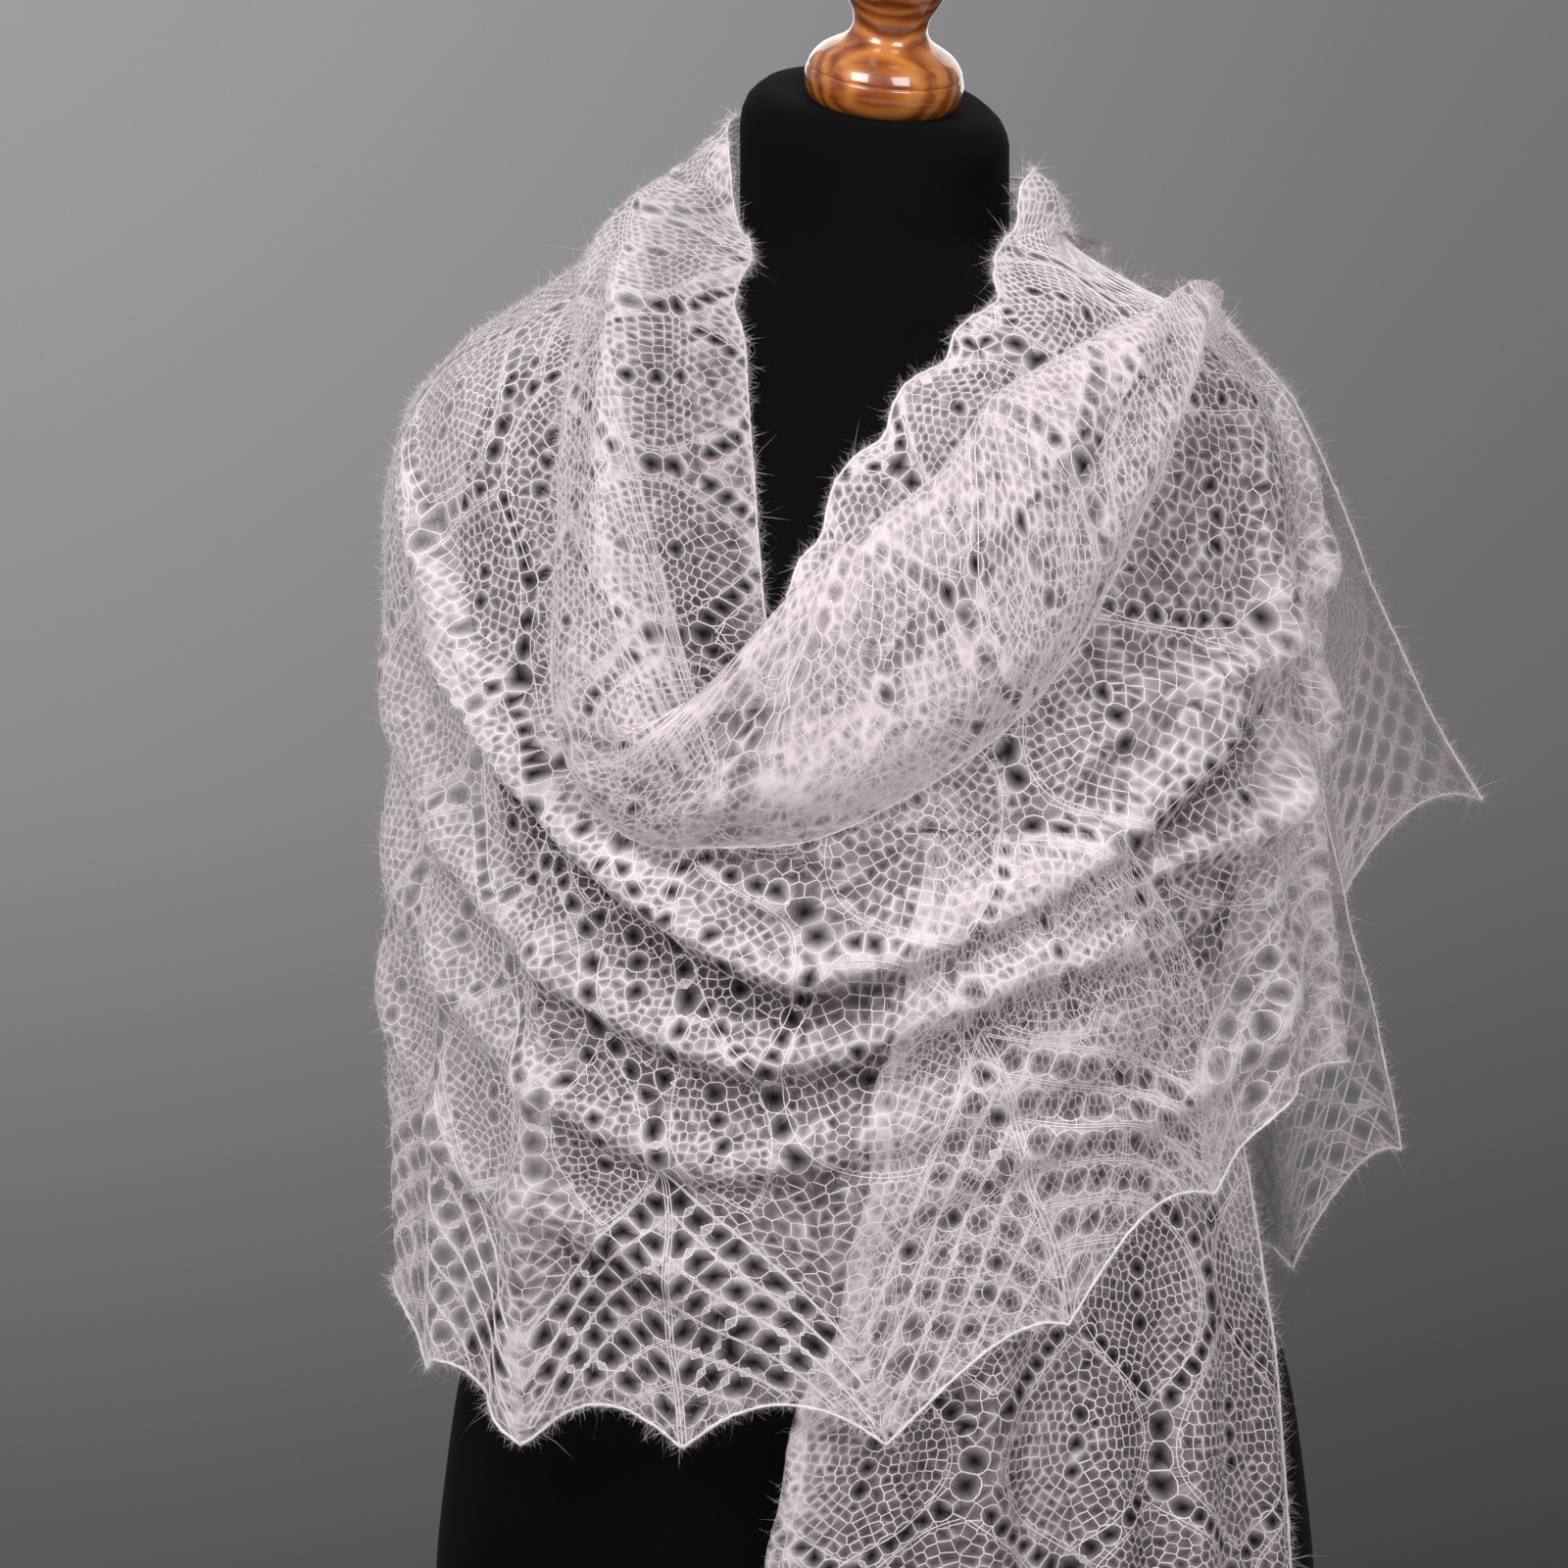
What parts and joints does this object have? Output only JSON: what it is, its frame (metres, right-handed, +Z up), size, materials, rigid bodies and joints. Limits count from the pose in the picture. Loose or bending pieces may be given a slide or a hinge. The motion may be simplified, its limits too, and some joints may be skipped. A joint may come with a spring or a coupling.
{
  "type": "lace shawl on a dress form",
  "caption": "Hand-knitted mohair lace shawl wound round a limbless black dress form with a turned wooden neck cap and foot: rolled collar, swagged front, one end hanging in front, one behind.",
  "frame": {"origin": "centre of the foot plate's flat underside", "axes": "+Z up along the dress form, front faces -Y, the hanging end is at +X"},
  "size_m": [0.454, 0.3552, 1.0086],
  "materials": {
    "mohair_lace": "fuzzy open lace knit, matt with a soft halo",
    "black_jersey": "matt fine jersey",
    "varnished_wood": "glossy orange-brown varnish"
  },
  "bodies": {
    "root": {"shawl_back": "mohair_lace", "shawl_left_shoulder": "mohair_lace", "shawl_front_wrap": "mohair_lace", "shawl_right_wrap": "mohair_lace", "shawl_collar_roll": "mohair_lace", "shawl_neck_strip": "mohair_lace", "shawl_front_fall": "mohair_lace", "shawl_thrown_end": "mohair_lace", "form_torso": "black_jersey", "neck_finial": "varnished_wood", "stand_column": "varnished_wood", "stand_base": "varnished_wood"}
  },
  "joints": []
}
